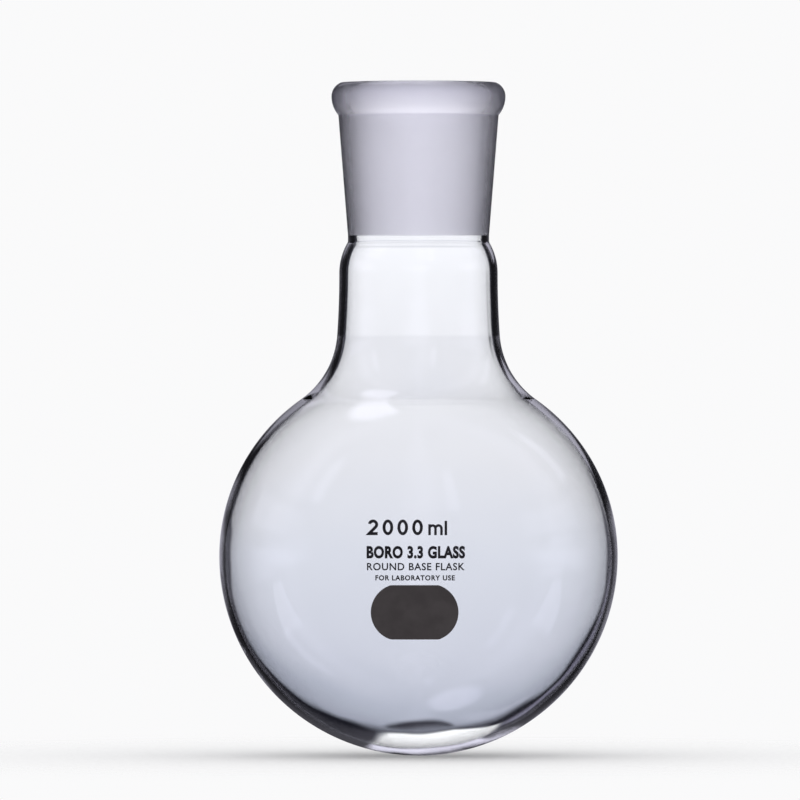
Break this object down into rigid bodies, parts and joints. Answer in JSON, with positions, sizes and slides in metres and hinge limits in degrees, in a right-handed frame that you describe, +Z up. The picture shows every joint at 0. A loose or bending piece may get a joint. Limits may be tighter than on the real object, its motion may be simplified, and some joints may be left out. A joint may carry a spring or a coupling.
{
  "type": "round bottom flask",
  "caption": "Two-litre round bottom laboratory flask in clear glass, with a frosted wide taper socket, rolled rim, and fired enamel capacity marks and writing patch.",
  "frame": {"origin": "lowest point of the bulb, on the flask's axis", "axes": "+Z up along the flask's axis, out of the mouth; -Y towards the enamel marks on the front; +X to the right of someone who reads them"},
  "size_m": [0.166, 0.1661, 0.2804],
  "materials": {
    "clear_glass": "fire polished, clear",
    "frosted_glass": "ground, frosted",
    "print_enamel": "fired enamel, dark blue-grey",
    "patch_enamel": "fired enamel, matt charcoal, takes pencil"
  },
  "bodies": {
    "root": {"bulb": "clear_glass", "neck": "clear_glass", "ground_socket": "frosted_glass", "rim_bead": "frosted_glass", "capacity_number": "print_enamel", "capacity_unit": "print_enamel", "glass_type_line": "print_enamel", "description_line": "print_enamel", "usage_line": "print_enamel", "writing_patch": "patch_enamel"}
  },
  "joints": []
}
